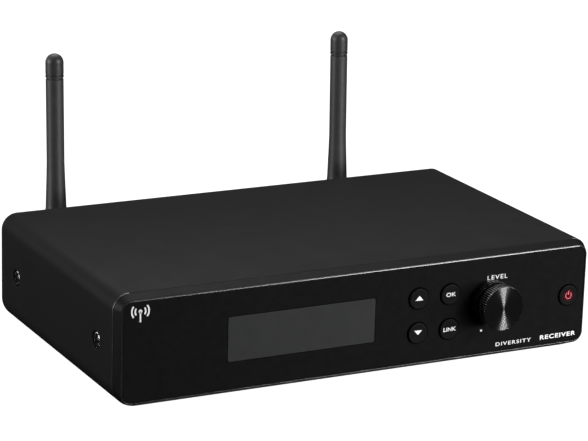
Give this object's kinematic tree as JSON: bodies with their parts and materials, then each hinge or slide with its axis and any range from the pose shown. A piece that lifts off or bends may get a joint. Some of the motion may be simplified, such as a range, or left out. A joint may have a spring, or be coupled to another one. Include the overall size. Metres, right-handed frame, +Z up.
{
  "type": "wireless receiver unit",
  "caption": "Half-rack wireless microphone receiver with a display, round keys and a volume knob in front, and folding whip antennas behind.",
  "frame": {"origin": "centre of the housing's underside, which rests on a flat surface", "axes": "+Z up, +X to the right seen from the front, the front panel faces -Y and the antennas are on the +Y side"},
  "size_m": [0.202, 0.1631, 0.0995],
  "materials": {
    "sleeve_paint": "fine-textured dark grey paint",
    "rear_paint": "matt black paint",
    "bezel_plastic": "satin dark grey, polished rim",
    "fascia_plastic": "fine matt black",
    "display_grey": "clear window over a grey display",
    "key_rubber": "matt black with printed symbols",
    "knob_plastic": "ribbed side, spun face",
    "antenna_rubber": "satin dark grey",
    "black_plastic": "moulded black",
    "circuit_board": "green lacquer",
    "tin_plate": "tin-plated steel",
    "nickel": "nickel plate",
    "black_steel": "blackened steel",
    "contact_gold": "gold plate",
    "cable_grey": "flat grey cable"
  },
  "bodies": {
    "root": {"housing_sleeve": "sleeve_paint", "chassis_tray": "tin_plate", "side_screw_left_front": "black_steel", "side_screw_left_rear": "black_steel", "side_screw_right_front": "black_steel", "side_screw_right_rear": "black_steel", "main_board": "circuit_board", "tuner_shield_left": "tin_plate", "tuner_shield_right": "tin_plate", "ribbon_cable": "cable_grey", "front_bezel": "bezel_plastic", "fascia": "fascia_plastic", "display_window": "display_grey", "display_module": "tin_plate", "front_board": "circuit_board", "up_switch": "black_plastic", "down_switch": "black_plastic", "enter_switch": "black_plastic", "link_switch": "black_plastic", "power_switch": "black_plastic", "volume_control": "tin_plate", "volume_nut": "nickel", "rear_panel": "rear_paint", "rear_screw_left": "black_steel", "rear_screw_right": "black_steel", "balanced_output_shell": "nickel", "balanced_output_insert": "black_plastic", "balanced_output_pin_1": "nickel", "balanced_output_pin_2": "nickel", "balanced_output_pin_3": "nickel", "line_output_jack": "black_plastic", "line_output_nut": "nickel", "data_socket": "black_plastic", "dc_inlet": "black_plastic", "dc_inlet_pin": "nickel", "cable_grip": "black_steel", "antenna_jack_left": "nickel", "antenna_contact_left": "contact_gold", "antenna_jack_nut_left": "nickel", "antenna_jack_right": "nickel", "antenna_contact_right": "contact_gold", "antenna_jack_nut_right": "nickel"},
    "up_key": {"up_key": "key_rubber"},
    "down_key": {"down_key": "key_rubber"},
    "enter_key": {"enter_key": "key_rubber"},
    "link_key": {"link_key": "key_rubber"},
    "power_key": {"power_key": "key_rubber"},
    "knob": {"volume_knob": "knob_plastic", "volume_shaft": "nickel"},
    "ring_left": {"bayonet_ring_left": "nickel"},
    "elbow_left": {"antenna_elbow_left": "antenna_rubber", "hinge_pin_left": "black_steel"},
    "whip_left": {"antenna_whip_left": "antenna_rubber", "antenna_tip_left": "antenna_rubber"},
    "ring_right": {"bayonet_ring_right": "nickel"},
    "elbow_right": {"antenna_elbow_right": "antenna_rubber", "hinge_pin_right": "black_steel"},
    "whip_right": {"antenna_whip_right": "antenna_rubber", "antenna_tip_right": "antenna_rubber"}
  },
  "joints": [
    {"name": "up_press", "type": "slide", "parent": "root", "child": "up_key", "axis": [0, 1, 0], "range_m": [0, 0.0007], "stiffness_N_per_m": 1500},
    {"name": "down_press", "type": "slide", "parent": "root", "child": "down_key", "axis": [0, 1, 0], "range_m": [0, 0.0007], "stiffness_N_per_m": 1500},
    {"name": "enter_press", "type": "slide", "parent": "root", "child": "enter_key", "axis": [0, 1, 0], "range_m": [0, 0.0007], "stiffness_N_per_m": 1500},
    {"name": "link_press", "type": "slide", "parent": "root", "child": "link_key", "axis": [0, 1, 0], "range_m": [0, 0.0007], "stiffness_N_per_m": 1500},
    {"name": "power_press", "type": "slide", "parent": "root", "child": "power_key", "axis": [0, 1, 0], "range_m": [0, 0.0007], "stiffness_N_per_m": 1500},
    {"name": "volume_turn", "type": "hinge", "parent": "root", "child": "knob", "pos_m": [0.0558, -0.0635, 0.0235], "axis": [0, 1, 0], "range_deg": [-172, 128]},
    {"name": "ring_left_turn", "type": "hinge", "parent": "root", "child": "ring_left", "pos_m": [-0.0656, 0.0677, 0.022], "axis": [0, 1, 0], "range_deg": [0, 90]},
    {"name": "antenna_left_swivel", "type": "hinge", "parent": "root", "child": "elbow_left", "pos_m": [-0.0656, 0.0785, 0.022], "axis": [0, 1, 0], "range_deg": [-90, 45]},
    {"name": "antenna_left_fold", "type": "hinge", "parent": "elbow_left", "child": "whip_left", "pos_m": [-0.0656, 0.0883, 0.022], "axis": [1, 0, 0], "range_deg": [-88, 2]},
    {"name": "ring_right_turn", "type": "hinge", "parent": "root", "child": "ring_right", "pos_m": [0.0656, 0.0677, 0.022], "axis": [0, 1, 0], "range_deg": [0, 90]},
    {"name": "antenna_right_swivel", "type": "hinge", "parent": "root", "child": "elbow_right", "pos_m": [0.0656, 0.0785, 0.022], "axis": [0, 1, 0], "range_deg": [-45, 90]},
    {"name": "antenna_right_fold", "type": "hinge", "parent": "elbow_right", "child": "whip_right", "pos_m": [0.0656, 0.0883, 0.022], "axis": [1, 0, 0], "range_deg": [-88, 2]}
  ]
}
